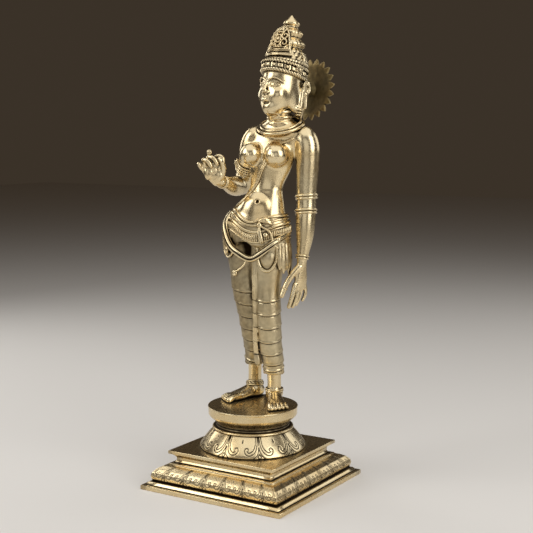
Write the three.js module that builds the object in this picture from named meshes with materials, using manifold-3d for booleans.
// A cast brass figure of a standing goddess with a tall crown, a wheel halo behind her head,
// and a stand of two castings: a round lotus pedestal on a square stepped plinth.
// Millimetres, +Z up, origin at the middle of the plinth's underside, the plinth's front
// toward -Y. The figure is given in its own frame: its origin is between the soles, +X is the
// figure's left, +Y its back, and every length in it is a share of FIGURE_HEIGHT.
import * as THREE from 'three';
import { LoftGeometry } from 'three/addons/geometries/LoftGeometry.js';
import { mergeVertices } from 'three/addons/utils/BufferGeometryUtils.js';
import Module from 'manifold-3d';

const wasm = await Module();
wasm.setup();

// Square plinth
const PLINTH_SIDE = 212;
const PLINTH_SLAB = 5.7;
const PLINTH_STEP = 6;
const PLINTH_STEP_HEIGHT = 4;
const PLINTH_GROOVE = 5;
const PLINTH_GROOVE_HEIGHT = 2.6;
const PLINTH_MOULDING_HEIGHT = 19;
const PLINTH_NECK_SIDE = 146;
const PLINTH_NECK_HEIGHT = 14.2;
const PLINTH_TOP_SIDE = 160;
const PLINTH_TOP_SLAB = 4;
const PLINTH_PETALS = 6;
const PLINTH_PETAL_RELIEF = 1.3;

// Round lotus pedestal
const SEAT_GAP = 0.3;
const BELL_RADIUS = 70.5;
const BELL_HEIGHT = 25;
const BELL_TOP_RADIUS = 52;
const BELL_PETALS = 9;
const BELL_PETAL_RELIEF = 1.5;
const BELL_FOOT = 1.8;
const BEAD_HEIGHT = 3.6;
const NECK_RADIUS = 46.5;
const NECK_HEIGHT = 10.4;
const DISC_RADIUS = 59.4;
const DISC_HEIGHT = 15.9;
const DISC_UNDERCUT = 4.6;

// Figure
const FIGURE_HEIGHT = 507;

// Wheel halo
const HALO_RADIUS = 41;
const HALO_POINTS = 20;
const HALO_POINT_LENGTH = 7;
const HALO_RIM = 3.4;
const HALO_WEB = 2.2;
const HALO_HUB_RADIUS = 7.5;
const HALO_STEM_LENGTH = 17;

// Slivers shorter than this are closed up where solids are joined
const JOIN_TOLERANCE = 0.15;

const PLINTH_HEIGHT = PLINTH_SLAB + PLINTH_STEP_HEIGHT + PLINTH_GROOVE_HEIGHT + PLINTH_MOULDING_HEIGHT
  + PLINTH_NECK_HEIGHT + PLINTH_TOP_SLAB;
const BELL_BOTTOM = PLINTH_HEIGHT + SEAT_GAP;
const PEDESTAL_TOP = BELL_BOTTOM + BELL_HEIGHT + BEAD_HEIGHT + NECK_HEIGHT + DISC_HEIGHT;
const SOLE = PEDESTAL_TOP + SEAT_GAP;
const UNIT = FIGURE_HEIGHT / 507;

const { sin, cos, sqrt, abs, min, max, PI } = Math;
const rad = THREE.MathUtils.degToRad;
const V = (x, y, z) => new THREE.Vector3(x, y, z);

// Solids

// A three.js geometry as a solid that can be joined and cut
function solid(geometry) {
  const bare = new THREE.BufferGeometry();
  bare.setAttribute('position', geometry.attributes.position);
  bare.setIndex(geometry.index);
  const merged = mergeVertices(bare, 1e-4);
  const vertProperties = new Float32Array(merged.attributes.position.array);
  const triVerts = new Uint32Array(merged.index.array);
  const mesh = new wasm.Mesh({ numProp: 3, vertProperties, triVerts, tolerance: JOIN_TOLERANCE });
  return new wasm.Manifold(mesh);
}

function join(pieces) {
  return pieces.reduce((whole, piece) => whole.add(piece));
}

function geometryOf(body) {
  const mesh = body.getMesh();
  const geometry = new THREE.BufferGeometry();
  geometry.setAttribute('position', new THREE.BufferAttribute(mesh.vertProperties, 3));
  geometry.setIndex(new THREE.BufferAttribute(mesh.triVerts, 1));
  return geometry;
}

function placed(geometry, matrix) {
  return solid(geometry.clone().applyMatrix4(matrix));
}

function loft(rings) {
  return solid(new LoftGeometry(rings, { capStart: true, capEnd: true }));
}

// A frame that faces the azimuth turn (0 is -Y, positive toward +X) and leans back by lean
function frameAt(origin, turn = 0, lean = 0) {
  const matrix = new THREE.Matrix4().makeRotationZ(rad(turn));
  matrix.multiply(new THREE.Matrix4().makeRotationX(-rad(lean)));
  return matrix.setPosition(origin);
}

// An oval ring of half-width a and half-depths front and back; its rear lies higher by tip
// and its left side by roll
function oval({ at, a, front, back = front, turn = 0, tip = 0, roll = 0 }, sides) {
  const side = V(cos(rad(turn)), sin(rad(turn)), 0);
  const rear = V(-sin(rad(turn)), cos(rad(turn)), 0);
  const points = [];
  for (let i = 0; i < sides; i++) {
    const angle = (i + 0.5) / sides * 2 * PI;
    const depth = sin(angle) > 0 ? back : front;
    const point = at.clone().addScaledVector(side, a * cos(angle));
    point.addScaledVector(rear, depth * sin(angle));
    point.z += tip * sin(angle) + roll * cos(angle);
    points.push(point);
  }
  return points;
}

// A limb of round or oval sections along a path, with a domed end, and a domed start too
// where it isn't sunk in another piece
function limb(stations, sides, across = V(1, 0, 0), freeStart = false) {
  const path = stations.map((s) => s.at);
  const rings = [];
  stations.forEach((station, i) => {
    const before = path[max(i - 1, 0)];
    const after = path[min(i + 1, path.length - 1)];
    const along = after.clone().sub(before).normalize();
    const u = across.clone().addScaledVector(along, -across.dot(along)).normalize();
    const v = along.clone().cross(u);
    const shares = [];
    if (i === 0 && freeStart) shares.push([-0.75, 0.6]);
    shares.push([0, 1]);
    if (i === path.length - 1) shares.push([0.75, 0.6]);
    for (const [forward, scale] of shares) {
      const ring = [];
      for (let k = 0; k < sides; k++) {
        const angle = k / sides * 2 * PI;
        const point = station.at.clone().addScaledVector(u, station.r * scale * cos(angle));
        point.addScaledVector(v, (station.flat ?? station.r) * scale * sin(angle));
        point.addScaledVector(along, forward * min(station.r, station.flat ?? station.r));
        ring.push(point);
      }
      rings.push(ring);
    }
  });
  return loft(rings);
}

// A round bar along a smooth open path
function bar(points, radius, steps, sides = 5) {
  const section = new THREE.Shape();
  section.absellipse(0, 0, radius, radius, 0, 2 * PI);
  const outline = section.getSpacedPoints(sides).slice(0, sides);
  const path = new THREE.CatmullRomCurve3(points);
  const geometry = new THREE.ExtrudeGeometry(new THREE.Shape(outline), {
    extrudePath: path,
    steps,
    curveSegments: 1,
  });
  return solid(geometry);
}

function ball(at, r, turn = 0, columns = 6, rows = 4) {
  const size = Array.isArray(r) ? r : [r, r, r];
  const geometry = new THREE.SphereGeometry(1, columns, rows);
  geometry.rotateX(PI / 2);
  geometry.scale(...size);
  return placed(geometry, frameAt(at, turn));
}

// Square plinth

// Half-side and height of the plinth's profile, from the underside up
function plinthProfile() {
  const half = PLINTH_SIDE / 2;
  const stepHalf = half - PLINTH_STEP;
  const grooveHalf = stepHalf - PLINTH_GROOVE;
  const neckHalf = PLINTH_NECK_SIDE / 2;
  const topHalf = PLINTH_TOP_SIDE / 2;
  const stepTop = PLINTH_SLAB + PLINTH_STEP_HEIGHT;
  const mouldingBottom = stepTop + PLINTH_GROOVE_HEIGHT;
  const neckBottom = mouldingBottom + PLINTH_MOULDING_HEIGHT;
  const neckTop = neckBottom + PLINTH_NECK_HEIGHT;
  const bulge = grooveHalf + 1.6;
  const ridge = neckHalf + 6.5;
  const moulding = [[0, bulge - 2], [0.25, bulge], [0.65, bulge - 5], [0.97, ridge]];
  return [
    [half, 0], [half, PLINTH_SLAB],
    [stepHalf + 1, PLINTH_SLAB], [stepHalf, stepTop - 2], [stepHalf - 1.6, stepTop],
    [grooveHalf, stepTop], [grooveHalf, mouldingBottom],
    ...moulding.map(([share, side]) => [side, mouldingBottom + share * PLINTH_MOULDING_HEIGHT, share]),
    [ridge, neckBottom + 1.6], [neckHalf, neckBottom + 2.4],
    [neckHalf - 1, (neckBottom + neckTop) / 2], [topHalf - 4, neckTop - 1.2],
    [topHalf, neckTop], [topHalf, neckTop + PLINTH_TOP_SLAB],
  ];
}

// How far a petal stands out at share across (-1 to 1) and share down its length
function petalRelief(across, up) {
  const rise = max(0, 1 - abs(across) ** 3);
  const ends = min(1, up * 5) * min(1, (1 - up) * 4);
  return sqrt(rise) * ends;
}

function squareRing(half, z, columns = 1, relief = 0) {
  const points = [];
  for (let side = 0; side < 4; side++) {
    const turn = side * PI / 2;
    for (let i = 0; i < columns; i++) {
      const share = i / columns;
      const across = 2 * ((share * PLINTH_PETALS) % 1) - 1;
      const out = half + (i > 0 ? relief * petalRelief(across, 0.5) : 0);
      const along = half * (2 * share - 1);
      points.push(V(-along * sin(turn) + out * cos(turn), along * cos(turn) + out * sin(turn), z));
    }
  }
  return points;
}

function makePlinth() {
  const profile = plinthProfile();
  const plain = (list) => loft(list.map(([half, z]) => squareRing(half, z)));
  const petals = profile.filter(([, , share]) => share !== undefined);
  const first = profile.indexOf(petals[0]);
  const last = profile.indexOf(petals.at(-1));
  const moulding = loft(petals.map(([half, z, share]) => {
    return squareRing(half, z, PLINTH_PETALS * 3, PLINTH_PETAL_RELIEF * petalRelief(0, share));
  }));
  const base = [...profile.slice(0, first), [profile[first][0] - 6, profile[first][1] + 2]];
  const top = [[profile[last][0] - 6, profile[last][1] - 2], ...profile.slice(last)];
  return join([plain(base), moulding, plain(top)]);
}

// Round lotus pedestal

function roundRing(radius, z, columns, relief = 0) {
  const points = [];
  for (let i = 0; i < columns; i++) {
    const angle = i / columns * 2 * PI;
    const across = 2 * ((i * BELL_PETALS / columns) % 1) - 1;
    const out = radius + relief * petalRelief(across, 0.5);
    points.push(V(out * sin(angle), -out * cos(angle), z));
  }
  return points;
}

function makePedestal() {
  const bellTop = BELL_BOTTOM + BELL_HEIGHT;
  const neckBottom = bellTop + BEAD_HEIGHT;
  const discBottom = neckBottom + NECK_HEIGHT;
  const columns = BELL_PETALS * 4;
  const rings = [roundRing(BELL_RADIUS - 2, BELL_BOTTOM, columns)];
  for (let i = 0; i <= 4; i++) {
    const share = i / 4;
    const radius = BELL_TOP_RADIUS + (BELL_RADIUS - BELL_TOP_RADIUS) * (1 - share ** 1.15);
    const z = BELL_BOTTOM + BELL_FOOT + (BELL_HEIGHT - BELL_FOOT) * share;
    rings.push(roundRing(radius, z, columns, BELL_PETAL_RELIEF * petalRelief(0, share)));
  }
  const plain = [
    [BELL_TOP_RADIUS - 2, bellTop - 2], [BELL_TOP_RADIUS, bellTop],
    [BELL_TOP_RADIUS + 1.4, bellTop + 0.35 * BEAD_HEIGHT],
    [BELL_TOP_RADIUS + 0.6, bellTop + 0.8 * BEAD_HEIGHT],
    [NECK_RADIUS, neckBottom + 0.1 * NECK_HEIGHT], [NECK_RADIUS + 1, discBottom - 1],
    [DISC_RADIUS - DISC_UNDERCUT, discBottom],
    [DISC_RADIUS - 1, discBottom + 0.3 * DISC_HEIGHT], [DISC_RADIUS, PEDESTAL_TOP - 1.5],
    [DISC_RADIUS - 1, PEDESTAL_TOP],
  ];
  return loft(rings).add(loft(plain.map(([radius, z]) => roundRing(radius, z, 24))));
}

// Figure: body

// Level sections from the thighs up the neck: height, middle, half-width, half-depth to the
// front and to the back, and the azimuth that the section faces
const TORSO = [
  { z: 170, x: -2, y: 12, a: 28, front: 17, back: 21, turn: 10 },
  { z: 191, x: -2.5, y: 12.5, a: 40, front: 24, back: 28, turn: 10 },
  { z: 206, x: -3, y: 13, a: 43.5, front: 26, back: 30, turn: 10 },
  { z: 222, x: -3, y: 14, a: 44.5, front: 27, back: 30, turn: 10 },
  { z: 236, x: -2.5, y: 14.5, a: 42.5, front: 26.5, back: 28, turn: 11 },
  { z: 254, x: 0, y: 16, a: 34.5, front: 25, back: 22, turn: 12 },
  { z: 263, x: 2, y: 17, a: 29, front: 22.5, back: 19, turn: 13 },
  { z: 273, x: 4, y: 18.5, a: 23.5, front: 19, back: 17, turn: 13 },
  { z: 286, x: 6, y: 20, a: 19.2, front: 16.5, back: 15, turn: 14 },
  { z: 310, x: 9, y: 23.5, a: 24.5, front: 18.5, back: 16.5, turn: 14 },
  { z: 326, x: 11.5, y: 26, a: 28.5, front: 19, back: 18.5, turn: 13 },
  { z: 341, x: 15, y: 30, a: 32, front: 18, back: 18, turn: 12 },
  { z: 352, x: 18, y: 33, a: 36, front: 16.5, back: 16, turn: 11 },
  { z: 360, x: 19, y: 34, a: 29, front: 15.5, back: 15, turn: 8 },
  { z: 368, x: 19.5, y: 34.5, a: 17.5, front: 15, back: 15, turn: 0 },
  { z: 394, x: 20, y: 37, a: 15.5, front: 14.5, back: 15.5, turn: -12 },
];

// Each wrapped leg from the thigh to below the hem; the folds of the cloth step outward
const LEFT_LEG = [
  { z: 205, x: 16, y: 16, a: 23, front: 22, back: 22 },
  { z: 175, x: 15.5, y: 14.3, a: 18.6, front: 18.5, back: 19 },
  { z: 157, x: 15.6, y: 13.3, a: 16.8, front: 16.8, back: 17 },
  { z: 125, x: 16.3, y: 12.6, a: 15.8, front: 16, back: 16 },
  { z: 95, x: 16.5, y: 15.1, a: 15, front: 15.2, back: 16 },
  { z: 73, x: 16.2, y: 18.4, a: 14.8, front: 14.8, back: 15.5 },
  { z: 59, x: 17.2, y: 21.4, a: 14, front: 14, back: 14.5 },
  { z: 46, x: 17.3, y: 23.8, a: 12.9, front: 12.6, back: 12.8 },
  { z: 40, x: 17.3, y: 24.5, a: 13, front: 12.6, back: 12.8 },
];
const RIGHT_LEG = [
  { z: 205, x: -20, y: 10, a: 23, front: 21, back: 22 },
  { z: 175, x: -19.7, y: 9, a: 18, front: 18, back: 19 },
  { z: 157, x: -18.2, y: 9, a: 16.8, front: 17, back: 17 },
  { z: 139, x: -15.9, y: 10.1, a: 15.9, front: 16, back: 16 },
  { z: 118, x: -13, y: 13.2, a: 15, front: 15.2, back: 15.5 },
  { z: 97, x: -12.7, y: 18, a: 14.2, front: 14.4, back: 15.2 },
  { z: 75, x: -14.2, y: 25.3, a: 13.2, front: 13.4, back: 14.4 },
  { z: 61, x: -16.3, y: 29.9, a: 12.6, front: 12.8, back: 13.4 },
  { z: 49, x: -18.1, y: 33.6, a: 12, front: 12, back: 12.4 },
];

// The section of a body or leg at any height
function sectionAt(stations, z) {
  const sorted = [...stations].sort((p, q) => p.z - q.z);
  const high = sorted.find((s) => s.z >= z) ?? sorted.at(-1);
  const low = sorted.findLast((s) => s.z <= z) ?? sorted[0];
  const share = high === low ? 0 : (z - low.z) / (high.z - low.z);
  const blend = (key) => (low[key] ?? 0) + ((high[key] ?? 0) - (low[key] ?? 0)) * share;
  const at = V(blend('x'), blend('y'), z);
  return { at, a: blend('a'), front: blend('front'), back: blend('back'), turn: blend('turn') };
}

// A point on a body's skin at azimuth angle from its front, moved out by out
function onSkin(stations, z, angle, out = 0) {
  const section = sectionAt(stations, z);
  const side = V(cos(rad(section.turn)), sin(rad(section.turn)), 0);
  const fore = V(sin(rad(section.turn)), -cos(rad(section.turn)), 0);
  const depth = abs(angle) < 90 ? section.front : section.back;
  const point = section.at.clone().addScaledVector(side, (section.a + out) * sin(rad(angle)));
  return point.addScaledVector(fore, (depth + out) * cos(rad(angle)));
}

// The trunk, with the ridges of the girdle round the hips, each given by its height, how
// far it stands out and its tilt
function makeTorso() {
  const body = (z, out = 0, tip = 0, roll = 0) => {
    const section = sectionAt(TORSO, z);
    section.a += out;
    section.front += out;
    section.back += out;
    return oval({ ...section, tip, roll }, 12);
  };
  const rings = [body(170), body(191), body(212, 0, 3, -2)];
  const ridges = [[216, 226, 4.4], [230, 237, 2.8], [241, 248, 2.6]];
  for (const [low, high, out] of ridges) {
    rings.push(body(low, 0.4, 5, -4), body(low + 1, out, 5, -4), body(high, out, 5, -4));
  }
  rings.push(body(251, 0, 5, -4));
  for (const s of TORSO.filter((level) => level.z > 260)) rings.push(body(s.z));
  return loft(rings);
}

// A leg wrapped in cloth whose folds droop toward the front, ending in a banded hem
function makeLeg(stations, { folds, droop, hem, shin }) {
  const step = 1;
  const ring = (z, grow, tip) => {
    const section = sectionAt(stations, z);
    section.a += grow;
    section.front += grow;
    section.back += grow;
    return oval({ ...section, tip }, 8);
  };
  const rings = [ring(stations[0].z, 0, 0), ring(stations[1].z, 0, 0)];
  for (const fold of folds) rings.push(ring(fold + 1, 0, droop), ring(fold - 1, step, droop));
  rings.push(ring(hem + 8.5, 0, droop), ring(hem + 7.5, 1.4, droop), ring(hem, 1.4, droop));
  rings.push(ring(hem - 0.6, -2.2, droop));
  return loft(rings.reverse()).add(limb(shin, 8));
}

// A bare foot: heel, instep, ball and five toes, from the heel along heading
function makeFoot(heel, heading, side) {
  const along = V(sin(rad(heading)), -cos(rad(heading)), 0);
  const across = V(cos(rad(heading)), sin(rad(heading)), 0);
  const on = (forward, sideways, z) => {
    return heel.clone().addScaledVector(along, forward).addScaledVector(across, sideways).setZ(z);
  };
  const sole = limb([
    { at: on(8, 0, 8), r: 8.6, flat: 8.5 }, { at: on(18, 0, 10.5), r: 9.6, flat: 11 },
    { at: on(32, -0.5 * side, 8.5), r: 10.2, flat: 9.6 },
    { at: on(46, -0.5 * side, 5.5), r: 11.8, flat: 7 },
    { at: on(54, 0, 4), r: 12.4, flat: 5.2 },
  ], 7, across, true);
  const reaches = [15, 14, 12.5, 10.5, 7.5];
  const toes = reaches.map((reach, i) => {
    const sideways = side * (-9.6 + 5.1 * i);
    const r = i === 0 ? 3.9 : 3 - 0.15 * i;
    return limb([
      { at: on(54, sideways * 0.92, 4), r }, { at: on(52.5 + reach - r * 0.6, sideways, 3.2), r },
    ], 4, across);
  });
  return join([sole, ...toes]);
}

function makeLegs() {
  const left = makeLeg(LEFT_LEG, {
    folds: [146, 117, 90, 66], droop: 3, hem: 40,
    shin: [
      { at: V(17, 25, 44), r: 10 }, { at: V(16.4, 27.2, 19), r: 9.8 }, { at: V(16.4, 27.2, 17), r: 12.4 },
      { at: V(16.2, 27.3, 15), r: 10.4 }, { at: V(16, 27.5, 10), r: 10.4 },
    ],
  });
  const right = makeLeg(RIGHT_LEG, {
    folds: [148, 120, 95, 72], droop: 3, hem: 48,
    shin: [
      { at: V(-18.5, 34.5, 52), r: 9.8 }, { at: V(-22, 39.3, 20), r: 9.6 },
      { at: V(-22.1, 39.5, 18), r: 12.2 }, { at: V(-22.3, 39.6, 16), r: 10.2 },
      { at: V(-22.5, 39.8, 10), r: 10.4 },
    ],
  });
  return join([left, right, makeFoot(V(7, 39, 0), 38, 1), makeFoot(V(-18, 54, 0), -20, -1)]);
}

// Three stations that make a ring standing out by thick on a limb between two points
function ringOn(from, to, share, r, thick, half = 1.6) {
  const middle = from.clone().lerp(to, share);
  const along = to.clone().sub(from).normalize();
  return [[-half, 0], [0, thick], [half, 0]].map(([shift, grow]) => {
    return { at: middle.clone().addScaledVector(along, shift), r: r + grow };
  });
}

function makeArms() {
  const shoulder = V(55.5, 40, 353);
  const elbow = V(57, 40, 264);
  const wrist = V(56, 31, 193);
  const left = limb([
    { at: shoulder, r: 10.5 }, { at: V(57.5, 40.7, 345), r: 14.2 }, { at: V(58.5, 41, 328), r: 15.4 },
    { at: V(57.4, 40.8, 300), r: 14.4 },
    ...ringOn(V(57, 40.4, 280), V(57, 40.2, 268), 0.5, 13.2, 2.6, 2.2),
    ...ringOn(elbow, V(57, 38.5, 247), 0.5, 13, 2.4, 2.2),
    { at: V(57, 36.5, 222), r: 11.4 }, { at: V(56.4, 33.5, 205), r: 9 },
    ...ringOn(V(56.2, 32, 198), wrist, 0.5, 7.2, 3, 2),
  ], 8);
  const elbowRight = V(-42.5, 41, 285);
  const upper = limb([
    { at: V(-14.5, 26, 353), r: 10.5 }, { at: V(-17, 26, 344), r: 14 }, { at: V(-23, 28.5, 325), r: 14.2 },
    ...ringOn(V(-27, 31, 313), V(-33, 35, 303), 0.4, 13.4, 2.6, 3), { at: elbowRight, r: 12.6 },
  ], 8);
  const fore = limb([
    { at: elbowRight, r: 12.4 }, { at: V(-40.5, 24, 285), r: 13.2 }, { at: V(-36.5, 4, 288), r: 11.6 },
    ...ringOn(V(-33, -10, 291), V(-32.5, -20, 293), 0.6, 8.4, 2.8, 2), { at: V(-32.5, -23, 293), r: 7 },
  ], 8, V(1, 0, 0), true);
  const shoulders = limb([
    { at: V(-14, 26, 348), r: 12 }, { at: V(19.5, 35, 360), r: 13.5 }, { at: V(55, 40, 348), r: 12.5 },
  ], 8, V(0, 1, 0));
  return join([left, upper, fore, shoulders]);
}

// Figure: hands, each in a frame at the wrist or palm whose +X runs across the hand

function finger(frame, points, r) {
  const stations = points.map(([x, y, z], i) => ({
    at: V(x, y, z).applyMatrix4(frame), r: r * (1 - 0.12 * i),
  }));
  return limb(stations, 4);
}

// The left hand hangs open with the fingers a little bent
function makeLeftHand() {
  const frame = frameAt(V(56, 31, 193), 32);
  const broad = V(-0.285, -0.957, 0);
  const spot = (x, y, z) => V(x, y, z).applyMatrix4(frame);
  const palm = limb([
    { at: spot(0, 0, 2), r: 7, flat: 6.6 }, { at: spot(-0.5, 0, -12), r: 7.6, flat: 5.4 },
    { at: spot(-1.5, -0.5, -26), r: 10.2, flat: 4.8 }, { at: spot(-2.5, -0.5, -37), r: 10.4, flat: 4.2 },
  ], 7, broad);
  return join([
    palm,
    finger(frame, [[-4, -3, -10], [-20, -10, -30], [-26, -12, -46]], 4.2),
    finger(frame, [[-9, -7, -34], [-13, -9, -48], [-17, -9, -61]], 3.1),
    finger(frame, [[-5, -3, -37], [-8, -4.5, -51], [-12, -5, -61]], 3.1),
    finger(frame, [[-0.5, 1.5, -37], [-3.5, 0.5, -50], [-7.5, -1, -59]], 2.9),
    finger(frame, [[3.5, 5, -36], [4.5, 5.5, -46], [1, 3.5, -54]], 2.6),
  ]);
}

// The right hand is raised, palm forward, with the fingers curled round a lotus bud
function makeRightHand() {
  const frame = frameAt(V(-40.3, -34.7, 307), 32);
  const across = V(cos(rad(32)), sin(rad(32)), 0);
  const spot = (x, y, z) => V(x, y, z).applyMatrix4(frame);
  return join([
    limb([
      { at: spot(4.5, 3, -15), r: 8, flat: 7 }, { at: spot(3.5, 0.5, -10), r: 10, flat: 6 },
      { at: spot(1, 0, -2), r: 12.2, flat: 5 }, { at: spot(-1, -1, 8), r: 14.4, flat: 4.6 },
    ], 7, across),
    finger(frame, [[-12.5, -1, 4], [-16, -6, 9], [-14.5, -10, 10.5]], 3),
    finger(frame, [[-8, -1, 9], [-11, -8, 14], [-1, -12, 8.5]], 3.1),
    finger(frame, [[-1, -1, 11], [-3.5, -9, 18.5], [7.5, -12.5, 10.5]], 3.1),
    finger(frame, [[8, 0, 9], [13.5, -3, 16], [6, -10, 19]], 3),
    finger(frame, [[9, 1, -9], [14, -2, 0], [15, -5, 9]], 3.4),
    finger(frame, [[-4, -10, 16], [-4, -10.5, 22]], 2.2),
    ball(spot(-4, -10.5, 25), [3.4, 3.4, 3]),
  ]);
}

// Figure: head and crown, in the head's own frame: +X its left, +Y back, +Z toward the crown

const HEAD_MIDDLE = V(21, 37.5, 413);
const HEAD_TURN = -12;
const HEAD_LEAN = 8;
const headFrame = frameAt(HEAD_MIDDLE, HEAD_TURN, HEAD_LEAN);
const KNOT_END = 37;
const KNOT_RISE = 7;

function inHead(geometry) {
  return placed(geometry, headFrame);
}

function makeHead() {
  const levels = [
    { z: -34, y: -15, a: 6, front: 6, back: 8 }, { z: -30, y: -13, a: 11.5, front: 11.5, back: 14 },
    { z: -21, y: -8, a: 18, front: 18.6, back: 24 }, { z: -9, y: -2, a: 22.6, front: 25.6, back: 29 },
    { z: 8, y: 1, a: 24.4, front: 28.6, back: 29 }, { z: 30, y: 2, a: 22.4, front: 24.6, back: 27 },
  ];
  const rings = levels.map((s) => {
    return oval({ ...s, at: V(0, s.y, s.z) }, 12).map((p) => p.applyMatrix4(headFrame));
  });
  const local = (x, y, z) => V(x, y, z).applyMatrix4(headFrame);
  const lump = (x, y, z, a, b, c, turn = 0) => {
    const sphere = new THREE.SphereGeometry(1, 6, 4).rotateX(PI / 2).scale(a, b, c);
    return placed(sphere, headFrame.clone().multiply(frameAt(V(x, y, z), turn)));
  };
  const nose = limb([
    { at: local(0, -26.6, 6), r: 1.8 }, { at: local(0, -30, -5.5), r: 3.4, flat: 2.6 },
  ], 4);
  const pieces = [loft(rings), nose, lump(0, -24.4, -15, 5, 2.4, 2.8), lump(0, -19.5, -27, 6, 4.4, 5)];
  for (const side of [-1, 1]) {
    pieces.push(lump(side * 8.8, -24.9, 3.6, 4.8, 2.4, 2.2, side * 18));
    pieces.push(lump(side * 24, 18, 0, 4.6, 5, 9.5, side * 8));
    pieces.push(limb([
      { at: local(side * 24.4, 17, -4), r: 2.8 }, { at: local(side * 24.4, 17, -19), r: 2.6 },
      { at: local(side * 23.5, 16.5, -25), r: 4.8 }, { at: local(side * 23.5, 16.5, -33), r: 4.8 },
    ], 5));
    pieces.push(limb([
      { at: local(side * 17, 20, 8), r: 6.5 }, { at: local(side * 18, 19, -33), r: 4 },
    ], 5));
  }
  // The hair knot at the back ends in a flat face that carries the wheel
  const knot = new THREE.LatheGeometry([
    new THREE.Vector2(0, 20), new THREE.Vector2(13, 20), new THREE.Vector2(15, 27),
    new THREE.Vector2(HALO_HUB_RADIUS + 1, KNOT_END), new THREE.Vector2(0, KNOT_END),
  ], 8);
  pieces.push(inHead(knot.translate(0, 0, KNOT_RISE)));
  return join(pieces);
}

// Crown: a banded rim that sits lower at the back, a tiered cone, its bud and a curved
// front plate
function makeCrown() {
  const inFrame = (points) => points.map((p) => p.applyMatrix4(headFrame));
  const tiers = [
    [13, 28, -5.4], [16.5, 28.6, -5.4], [17.5, 27.2, -5.4], [23.5, 27.2, -5], [24.5, 28.6, -5],
    [27.5, 28.2, -4.6], [35, 28, 0], [45, 22.8, 0], [50, 24, 0], [56.5, 18.8, 0], [63, 19.6, 0],
    [77.4, 7.6, 0], [82, 10.8, 0], [85.5, 9.6, 0], [95.2, 0.8, 0],
  ];
  const rings = tiers.map(([z, radius, tip]) => {
    const depth = radius * (z < 30 ? 1.17 : 1.06);
    const middle = z < 30 ? 2.6 : 3.6 + 0.02 * (z - 30);
    return inFrame(oval({ at: V(0, middle, z), a: radius, front: depth, tip }, 12));
  });
  const pieces = [loft(rings)];
  for (let i = 0; i < 5; i++) {
    const angle = rad(-72 + i * 36);
    const at = V(27 * sin(angle), 2.2 - 31.5 * cos(angle), 20.5 + 5 * cos(angle));
    pieces.push(placed(new THREE.OctahedronGeometry(4), headFrame.clone().multiply(frameAt(at))));
  }
  const rows = [[30, 27.6, 56], [38, 27.8, 50], [53, 22.8, 33], [68, 16, 17], [75.5, 12, 7]];
  const plate = rows.map(([z, radius, spread]) => {
    const arc = (r) => Array.from({ length: 5 }, (_, i) => {
      const angle = rad(spread * (i / 2 - 1));
      return V(r * sin(angle), 2.5 - 1.06 * r * cos(angle), z);
    });
    return inFrame([...arc(radius), ...arc(radius - 6).reverse()]);
  });
  pieces.push(loft(plate));
  const gem = new THREE.SphereGeometry(1, 6, 5).rotateX(PI / 2).scale(4.2, 2.4, 5.6);
  pieces.push(placed(gem, headFrame.clone().multiply(frameAt(V(0, -22, 49)))));
  for (const side of [-1, 1]) {
    pieces.push(limb([
      { at: V(side * 25.5, -1, 23).applyMatrix4(headFrame), r: 5 },
      { at: V(side * 26, 5, 33).applyMatrix4(headFrame), r: 4.6 },
      { at: V(side * 23.5, 2, 42).applyMatrix4(headFrame), r: 3.6 },
    ], 6));
  }
  return join(pieces);
}

// Figure: dress and jewels

// Clasp, fan bow, rosette, tassel and ribbon of the girdle, a little to the left of the middle
function makeClasp() {
  const on = (angle, z, out) => onSkin(TORSO, z, angle, out);
  return join([
    ball(on(26, 239, 3), [4.5, 3.4, 4], 35),
    limb([
      { at: on(30, 243, 2.5), r: 3 }, { at: on(40, 245, 4), r: 5, flat: 2.6 },
      { at: on(48, 239, 4), r: 5.6, flat: 2.2 },
    ], 5, V(0.5, 0.3, 0.8)),
    ball(on(38, 226, 4), [5.4, 4, 5.4], 45),
    limb([{ at: on(29, 236, 4), r: 2.4 }, { at: on(28, 228, 7), r: 2.6 }, { at: on(34, 213, 8), r: 4.2 }], 5),
    bar([on(32, 238, 4), on(50, 230, 6), on(54, 218, 7), on(64, 211, 6)], 1.9, 5, 4),
    ball(on(68, 217, 3.5), [4.6, 3.4, 4.2], 70),
  ]);
}

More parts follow.
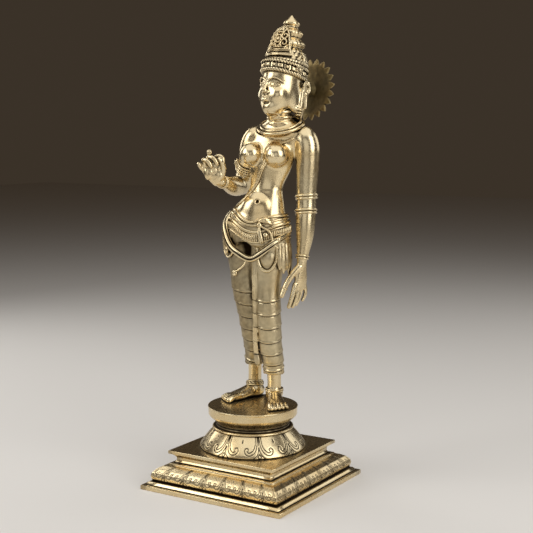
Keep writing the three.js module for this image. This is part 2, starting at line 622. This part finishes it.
// The rope-like sash, the festoon and scarf tails on the left thigh and the long pleat
function makeSashes() {
  const on = (angle, z, out) => onSkin(TORSO, z, angle, out);
  const loop = bar([
    on(-62, 246, 1), on(-42, 232, 4), on(-24, 217, 7), on(-6, 202, 9), on(10, 194.5, 10), on(30, 199, 10),
    on(48, 208, 7), on(62, 214, 3),
  ], 3.7, 12, 5);
  const hipSash = bar([
    on(-80, 244, 1.5), on(-75, 226, 2), on(-70, 208, 1.5), on(-58, 195, 0), on(-40, 188, -2),
  ], 2.8, 6, 4);
  const festoon = bar([
    V(3, -1, 193), V(7.5, -4.5, 181), V(16, -5.2, 176.5), V(26, -1.5, 182), V(32, 4, 196), V(33.5, 8, 208),
  ], 2.4, 8, 4);
  const kneeKnot = ball(V(-25.5, -6.5, 172.5), [3.2, 3, 4]);
  const kneeHem = bar([V(-25, -6.5, 175), V(-17, -9.5, 177), V(-7, -6, 184)], 1.4, 3, 3);
  const tails = [[92, 172, 4.6], [68, 176, 3.8], [116, 174, 4.4]].map(([angle, end, wide]) => {
    const low = onSkin(TORSO, 206, angle, 3);
    return limb([
      { at: on(angle, 212, 1), r: wide * 0.8, flat: 2.4 },
      { at: low.clone().setZ(end + 9), r: wide * 1.1, flat: 2.8 },
      { at: low.clone().setZ(end), r: 1.2, flat: 1.2 },
    ], 5, V(-sin(rad(angle)), cos(rad(angle)), 0));
  });
  const pleat = limb([
    { at: V(1.5, -8, 212), r: 3 }, { at: V(-1, -4.5, 175), r: 2.6 }, { at: V(-2, -2.5, 140), r: 2.4 },
    { at: V(-0.5, 2, 100), r: 2.4 }, { at: V(0.5, 9, 66), r: 2.8 }, { at: V(0.5, 10.5, 56), r: 4, flat: 3 },
    { at: V(1, 10.5, 48), r: 1.6 },
  ], 5);
  const web = limb([
    { at: V(-1, 4, 200), r: 8 }, { at: V(-1.5, 6, 150), r: 6.5 }, { at: V(0.5, 10, 100), r: 5.5 },
    { at: V(0.5, 17, 66), r: 5 },
  ], 6);
  return join([loop, hipSash, festoon, kneeKnot, kneeHem, ...tails, pleat, web]);
}

// Breasts, the torques at the base of the neck, its fold lines and the crossing thread
function makeChest() {
  const on = (angle, z, out) => onSkin(TORSO, z, angle, out);
  const pieces = [V(31.3, 11.3, 325), V(-1.2, 4.1, 327)].map((at) => ball(at, 14.6, 14, 9, 6));
  const collar = [
    [352, 24, 7], [356, 26.4, 7], [360, 27.6, 7], [361, 25, 6.8], [364.5, 26.2, 6.6],
    [370, 17.6, 3], [372.5, 19, 2.4], [375, 17, 2.4], [377.5, 18.4, 2.4], [380, 16.4, 2.4],
  ];
  pieces.push(loft(collar.map(([z, a, tip]) => {
    return oval({ at: V(19.4, 33.4, z), a, front: a * 0.88, back: a * 0.82, turn: 4, tip }, 12);
  })));
  pieces.push(bar([
    on(100, 360, 0), on(72, 354, 0.5), on(40, 346, 1.5), on(15, 341, 2), on(-4, 336, 2), on(0, 322, 1.2),
    on(-12, 308, 1), on(-22, 294, 1), on(-34, 284, 1), on(-52, 272, 1), on(-72, 262, 1),
  ], 2, 16, 3));
  return join(pieces);
}

function makeFigure() {
  const whole = join([
    makeTorso(), makeLegs(), makeArms(), makeLeftHand(), makeRightHand(), makeHead(), makeCrown(),
    makeClasp(), makeSashes(), makeChest(),
  ]);
  const floor = new THREE.BoxGeometry(400, 400, 40).translate(0, 0, -20);
  return whole.subtract(solid(floor));
}

// Wheel halo, in its own frame: axis along -Z toward the head

function makeHalo() {
  const outline = new THREE.Shape();
  const inner = HALO_RADIUS - HALO_POINT_LENGTH;
  for (let i = 0; i < HALO_POINTS; i++) {
    const start = i / HALO_POINTS * 2 * PI;
    const step = 2 * PI / HALO_POINTS;
    const shoulder = HALO_RADIUS - 0.45 * HALO_POINT_LENGTH;
    for (const [share, radius] of [[0, inner], [0.18, shoulder], [0.5, HALO_RADIUS], [0.82, shoulder]]) {
      const angle = start + share * step;
      const point = [radius * cos(angle), radius * sin(angle)];
      if (i === 0 && share === 0) outline.moveTo(...point);
      else outline.lineTo(...point);
    }
  }
  const petals = new THREE.ExtrudeGeometry(outline, { depth: HALO_RIM, bevelEnabled: false });
  const dishRadius = inner - HALO_RIM;
  const dishFloor = HALO_RIM - HALO_WEB;
  const lathe = (profile, sides) => {
    return new THREE.LatheGeometry(profile.map(([radius, z]) => new THREE.Vector2(radius, z)), sides);
  };
  const dish = lathe([[0, -1], [dishRadius, -1], [dishRadius, dishFloor], [0, dishFloor]], HALO_POINTS);
  dish.rotateX(PI / 2);
  const stem = lathe([
    [0, -HALO_STEM_LENGTH], [HALO_HUB_RADIUS, -HALO_STEM_LENGTH],
    [HALO_HUB_RADIUS * 0.8, -HALO_STEM_LENGTH * 0.6], [HALO_HUB_RADIUS * 0.9, -HALO_RIM],
    [HALO_HUB_RADIUS * 1.5, 0], [0, 1],
  ], 8);
  stem.rotateX(PI / 2);
  const boss = new THREE.SphereGeometry(HALO_HUB_RADIUS * 1.2, 8, 5).scale(1, 1, 0.35);
  boss.translate(0, 0, HALO_RIM);
  return solid(petals).subtract(solid(dish)).add(solid(stem)).add(solid(boss));
}

// Assembly

const finish = (color, roughness) => new THREE.MeshStandardMaterial({ color, roughness, metalness: 1 });
const statue = new THREE.Group();

function add(name, body, material) {
  const mesh = new THREE.Mesh(geometryOf(body), material);
  mesh.name = name;
  statue.add(mesh);
  return mesh;
}

add('plinth', makePlinth(), finish('#b59a5e', 0.34));
add('lotus_pedestal', makePedestal(), finish('#b59a5e', 0.34));

const figure = add('figure', makeFigure(), finish('#bda468', 0.28));
figure.scale.setScalar(UNIT);
figure.position.set(0, 0, SOLE);

const halo = add('halo_wheel', makeHalo(), finish('#8f7a49', 0.42));
halo.applyMatrix4(new THREE.Matrix4().makeTranslation(0, 0, SOLE)
  .multiply(new THREE.Matrix4().makeScale(UNIT, UNIT, UNIT))
  .multiply(headFrame)
  .multiply(new THREE.Matrix4().makeTranslation(0, KNOT_END + SEAT_GAP / UNIT, KNOT_RISE))
  .multiply(new THREE.Matrix4().makeScale(1 / UNIT, 1 / UNIT, 1 / UNIT))
  .multiply(new THREE.Matrix4().makeTranslation(0, HALO_STEM_LENGTH, 0))
  .multiply(new THREE.Matrix4().makeRotationX(-PI / 2)));

export default statue;
